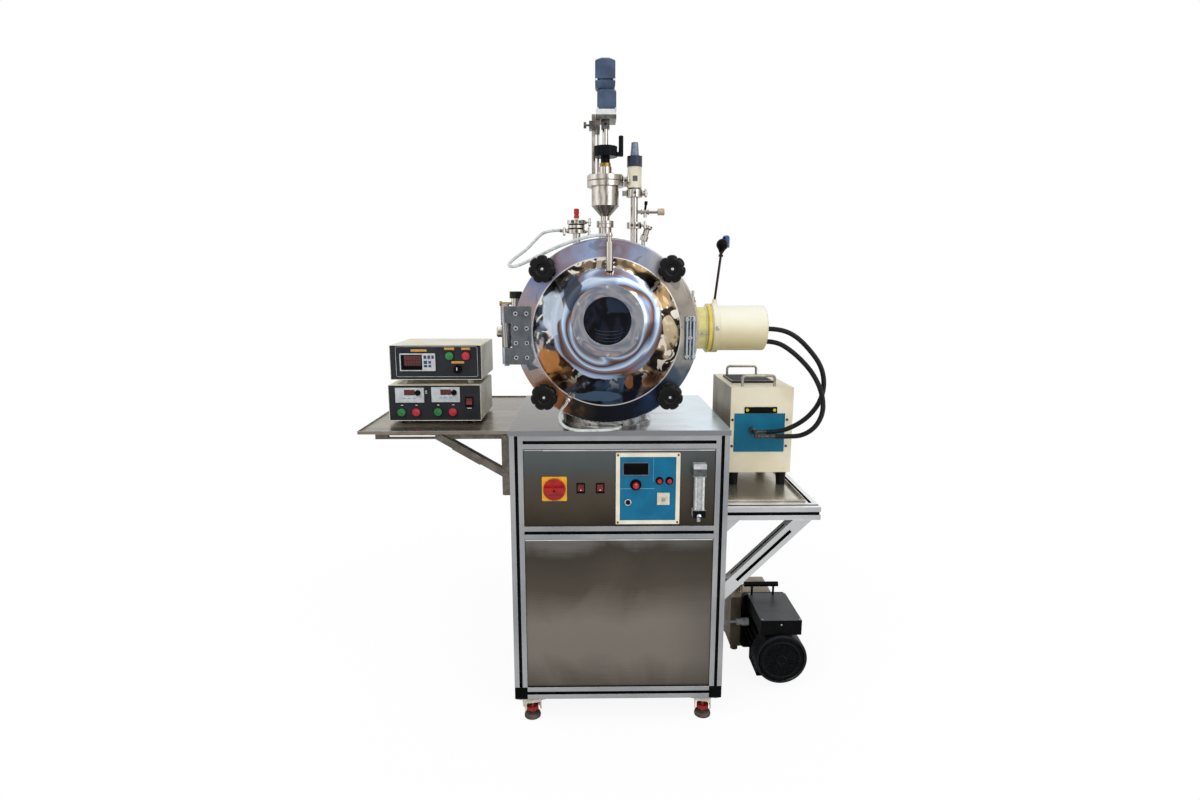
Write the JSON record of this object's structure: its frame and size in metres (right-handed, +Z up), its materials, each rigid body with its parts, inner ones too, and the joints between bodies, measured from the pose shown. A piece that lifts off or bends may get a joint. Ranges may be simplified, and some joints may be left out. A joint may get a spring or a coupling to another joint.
{
  "type": "melting furnace",
  "caption": "Vacuum melting furnace on a wheeled cabinet: round chamber with hinged window door, tilting crucible, stirrer column, generator shelf, folding tray and pump.",
  "frame": {"origin": "on the floor under the middle of the whole machine, its pump included", "axes": "+Z up, -Y towards the chamber door and the front panel, +X towards the pump and the generator"},
  "size_m": [1.418, 0.7742, 2.013],
  "materials": {
    "cabinet_frame": "anodised",
    "table_top": "satin",
    "control_panel": "satin",
    "outer_panels": "satin",
    "caster_plates": "satin",
    "side_tray": "satin",
    "tray_wall_arms": "satin",
    "tray_braces": "satin",
    "main_switch": "gloss",
    "rocker_left": "gloss",
    "rocker_right": "gloss",
    "furnace_controller": "matt",
    "power_knob": "gloss",
    "start_button": "gloss",
    "flowmeter": "clear",
    "flow_valve": "polished",
    "upper_controller": "satin",
    "lower_controller": "satin",
    "upper_green_button": "gloss",
    "upper_red_button": "gloss",
    "lower_green_button_left": "gloss",
    "lower_red_button_left": "gloss",
    "lower_green_button_right": "gloss",
    "lower_red_button_right": "gloss",
    "lower_rocker": "gloss",
    "upper_selector": "gloss",
    "chamber_shell": "polished",
    "side_ports": "polished",
    "push_rod": "polished",
    "feed_cover": "satin",
    "tilt_lever": "satin",
    "melting_coil": "satin",
    "crucible": "matt",
    "door_shell": "polished",
    "door_window": "polished",
    "star_knobs": "satin",
    "doser_vessel": "polished",
    "doser_handwheel": "satin",
    "stirrer_motor": "satin",
    "stirrer_shaft": "polished",
    "top_fittings": "polished",
    "left_valve_handle": "gloss",
    "right_valve_knob": "satin",
    "side_shelf": "anodised",
    "generator": "satin",
    "pump_body": "satin",
    "pump_fan": "satin",
    "power_cable_a": "satin",
    "power_cable_b": "satin",
    "door_hose_top": "clear",
    "door_hose_bottom": "clear",
    "pump_cord": "satin",
    "caster_housing_front_left": "gloss",
    "caster_wheel_front_left": "satin",
    "caster_housing_front_right": "gloss",
    "caster_wheel_front_right": "satin",
    "caster_housing_rear_left": "gloss",
    "caster_wheel_rear_left": "satin",
    "caster_housing_rear_right": "gloss",
    "caster_wheel_rear_right": "satin"
  },
  "bodies": {
    "cabinet": {"cabinet_frame": "cabinet_frame", "table_top": "table_top", "control_panel": "control_panel", "outer_panels": "outer_panels", "caster_plates": "caster_plates", "tray_wall_arms": "tray_wall_arms", "side_shelf": "side_shelf", "furnace_controller": "furnace_controller", "flowmeter": "flowmeter", "chamber_shell": "chamber_shell", "side_ports": "side_ports", "doser_vessel": "doser_vessel", "top_fittings": "top_fittings", "generator": "generator", "pump_body": "pump_body", "power_cable_a": "power_cable_a", "power_cable_b": "power_cable_b", "door_hose_top": "door_hose_top", "door_hose_bottom": "door_hose_bottom", "pump_cord": "pump_cord"},
    "caster_front_left": {"caster_housing_front_left": "caster_housing_front_left"},
    "wheel_front_left": {"caster_wheel_front_left": "caster_wheel_front_left"},
    "caster_front_right": {"caster_housing_front_right": "caster_housing_front_right"},
    "wheel_front_right": {"caster_wheel_front_right": "caster_wheel_front_right"},
    "caster_rear_left": {"caster_housing_rear_left": "caster_housing_rear_left"},
    "wheel_rear_left": {"caster_wheel_rear_left": "caster_wheel_rear_left"},
    "caster_rear_right": {"caster_housing_rear_right": "caster_housing_rear_right"},
    "wheel_rear_right": {"caster_wheel_rear_right": "caster_wheel_rear_right"},
    "tray": {"side_tray": "side_tray", "upper_controller": "upper_controller", "lower_controller": "lower_controller"},
    "tray_brace": {"tray_braces": "tray_braces"},
    "main_switch": {"main_switch": "main_switch"},
    "rocker_left": {"rocker_left": "rocker_left"},
    "rocker_right": {"rocker_right": "rocker_right"},
    "power_knob": {"power_knob": "power_knob"},
    "start_button": {"start_button": "start_button"},
    "flow_valve": {"flow_valve": "flow_valve"},
    "upper_green_button": {"upper_green_button": "upper_green_button"},
    "upper_red_button": {"upper_red_button": "upper_red_button"},
    "lower_green_button_left": {"lower_green_button_left": "lower_green_button_left"},
    "lower_red_button_left": {"lower_red_button_left": "lower_red_button_left"},
    "lower_green_button_right": {"lower_green_button_right": "lower_green_button_right"},
    "lower_red_button_right": {"lower_red_button_right": "lower_red_button_right"},
    "lower_rocker": {"lower_rocker": "lower_rocker"},
    "upper_selector": {"upper_selector": "upper_selector"},
    "tilt_unit": {"feed_cover": "feed_cover", "tilt_lever": "tilt_lever", "melting_coil": "melting_coil", "crucible": "crucible"},
    "door": {"door_shell": "door_shell", "door_window": "door_window", "star_knobs": "star_knobs"},
    "stirrer_carriage": {"stirrer_motor": "stirrer_motor"},
    "stirrer": {"stirrer_shaft": "stirrer_shaft"},
    "doser_handwheel": {"doser_handwheel": "doser_handwheel"},
    "push_rod": {"push_rod": "push_rod"},
    "left_valve_handle": {"left_valve_handle": "left_valve_handle"},
    "right_valve_knob": {"right_valve_knob": "right_valve_knob"},
    "pump_fan": {"pump_fan": "pump_fan"}
  },
  "joints": [
    {"name": "caster_swivel_front_left", "type": "hinge", "parent": "cabinet", "child": "caster_front_left", "pos_m": [-0.219, -0.20413, 0.08], "axis": [0, 0, 1], "continuous": true},
    {"name": "wheel_spin_front_left", "type": "hinge", "parent": "caster_front_left", "child": "wheel_front_left", "pos_m": [-0.22898, -0.15717, 0.025], "axis": [0.9781, 0.2079, 0], "continuous": true},
    {"name": "caster_swivel_front_right", "type": "hinge", "parent": "cabinet", "child": "caster_front_right", "pos_m": [0.331, -0.20413, 0.08], "axis": [0, 0, 1], "continuous": true},
    {"name": "wheel_spin_front_right", "type": "hinge", "parent": "caster_front_right", "child": "wheel_front_right", "pos_m": [0.33851, -0.15672, 0.025], "axis": [0.9877, -0.1564, 0], "continuous": true},
    {"name": "caster_swivel_rear_left", "type": "hinge", "parent": "cabinet", "child": "caster_rear_left", "pos_m": [-0.219, 0.30588, 0.08], "axis": [0, 0, 1], "continuous": true},
    {"name": "wheel_spin_rear_left", "type": "hinge", "parent": "caster_rear_left", "child": "wheel_rear_left", "pos_m": [-0.23542, 0.35098, 0.025], "axis": [0.9397, 0.342, 0], "continuous": true},
    {"name": "caster_swivel_rear_right", "type": "hinge", "parent": "cabinet", "child": "caster_rear_right", "pos_m": [0.331, 0.30588, 0.08], "axis": [0, 0, 1], "continuous": true},
    {"name": "wheel_spin_rear_right", "type": "hinge", "parent": "caster_rear_right", "child": "wheel_rear_right", "pos_m": [0.34423, 0.35202, 0.025], "axis": [0.9613, -0.2756, 0], "continuous": true},
    {"name": "tray_fold", "type": "hinge", "parent": "cabinet", "child": "tray", "pos_m": [-0.283, 0.05087, 0.935], "axis": [0, -1, 0], "range_deg": [0, 90]},
    {"name": "brace_fold", "type": "hinge", "parent": "cabinet", "child": "tray_brace", "pos_m": [-0.283, 0.05087, 0.82], "axis": [0, -1, 0], "range_deg": [0, 121]},
    {"name": "main_switch_turn", "type": "hinge", "parent": "cabinet", "child": "main_switch", "pos_m": [-0.1375, -0.25212, 0.778], "axis": [0, -1, 0], "range_deg": [0, 90]},
    {"name": "rocker_left_tip", "type": "hinge", "parent": "cabinet", "child": "rocker_left", "pos_m": [-0.059, -0.24513, 0.7795], "axis": [1, 0, 0], "range_deg": [0, 20]},
    {"name": "rocker_right_tip", "type": "hinge", "parent": "cabinet", "child": "rocker_right", "pos_m": [-0.0015, -0.24513, 0.7795], "axis": [1, 0, 0], "range_deg": [0, 20]},
    {"name": "power_knob_turn", "type": "hinge", "parent": "cabinet", "child": "power_knob", "pos_m": [0.1038, -0.25812, 0.7914], "axis": [0, -1, 0], "range_deg": [0, 300]},
    {"name": "start_button_press", "type": "slide", "parent": "cabinet", "child": "start_button", "axis": [0, 1, 0], "range_m": [0, 0.0025], "stiffness_N_per_m": 500},
    {"name": "flow_valve_turn", "type": "hinge", "parent": "cabinet", "child": "flow_valve", "pos_m": [0.292, -0.26212, 0.69], "axis": [0, 0, 1], "range_deg": [0, 720]},
    {"name": "upper_green_button_press", "type": "slide", "parent": "tray", "child": "upper_green_button", "axis": [0, 1, 0], "range_m": [0, 0.0025], "stiffness_N_per_m": 400},
    {"name": "upper_red_button_press", "type": "slide", "parent": "tray", "child": "upper_red_button", "axis": [0, 1, 0], "range_m": [0, 0.0025], "stiffness_N_per_m": 400},
    {"name": "lower_green_button_left_press", "type": "slide", "parent": "tray", "child": "lower_green_button_left", "axis": [0, 1, 0], "range_m": [0, 0.0025], "stiffness_N_per_m": 400},
    {"name": "lower_red_button_left_press", "type": "slide", "parent": "tray", "child": "lower_red_button_left", "axis": [0, 1, 0], "range_m": [0, 0.0025], "stiffness_N_per_m": 400},
    {"name": "lower_green_button_right_press", "type": "slide", "parent": "tray", "child": "lower_green_button_right", "axis": [0, 1, 0], "range_m": [0, 0.0025], "stiffness_N_per_m": 400},
    {"name": "lower_red_button_right_press", "type": "slide", "parent": "tray", "child": "lower_red_button_right", "axis": [0, 1, 0], "range_m": [0, 0.0025], "stiffness_N_per_m": 400},
    {"name": "lower_rocker_tip", "type": "hinge", "parent": "tray", "child": "lower_rocker", "pos_m": [-0.4035, -0.12512, 1.02], "axis": [1, 0, 0], "range_deg": [0, 20]},
    {"name": "upper_selector_turn", "type": "hinge", "parent": "tray", "child": "upper_selector", "pos_m": [-0.435, -0.13412, 1.121], "axis": [0, -1, 0], "range_deg": [-80, 0]},
    {"name": "crucible_tilt", "type": "hinge", "parent": "cabinet", "child": "tilt_unit", "pos_m": [0.016, -0.09913, 1.244], "axis": [1, 0, 0], "range_deg": [0, 95], "deforming": ["power_cable_a", "power_cable_b"]},
    {"name": "door_hinge", "type": "hinge", "parent": "cabinet", "child": "door", "pos_m": [-0.266, -0.27813, 1.237], "axis": [0, 0, 1], "range_deg": [-110, 0], "deforming": ["door_hose_top", "door_hose_bottom"]},
    {"name": "stirrer_lift", "type": "slide", "parent": "cabinet", "child": "stirrer_carriage", "axis": [0, 0, 1], "range_m": [-0.04, 0]},
    {"name": "stirrer_spin", "type": "hinge", "parent": "stirrer_carriage", "child": "stirrer", "pos_m": [0.016, -0.09913, 1.5], "axis": [0, 0, 1], "continuous": true},
    {"name": "doser_turn", "type": "hinge", "parent": "cabinet", "child": "doser_handwheel", "pos_m": [0.016, -0.09913, 1.76], "axis": [0, 0, 1], "range_deg": [-195, 95]},
    {"name": "push_rod_slide", "type": "slide", "parent": "cabinet", "child": "push_rod", "axis": [1, 0, 0], "range_m": [0, 0.04]},
    {"name": "left_valve_turn", "type": "hinge", "parent": "cabinet", "child": "left_valve_handle", "pos_m": [-0.07, -0.09913, 1.58], "axis": [0, 0, 1], "range_deg": [0, 90]},
    {"name": "right_valve_turn", "type": "hinge", "parent": "cabinet", "child": "right_valve_knob", "pos_m": [0.176, -0.09913, 1.59], "axis": [1, 0, 0], "range_deg": [0, 720]},
    {"name": "fan_spin", "type": "hinge", "parent": "cabinet", "child": "pump_fan", "pos_m": [0.62, -0.04913, 0.113], "axis": [0, 1, 0], "continuous": true}
  ],
  "couplings": [
    {"joint": "brace_fold", "follows": "tray_fold", "ratio": 1.3407}
  ]
}
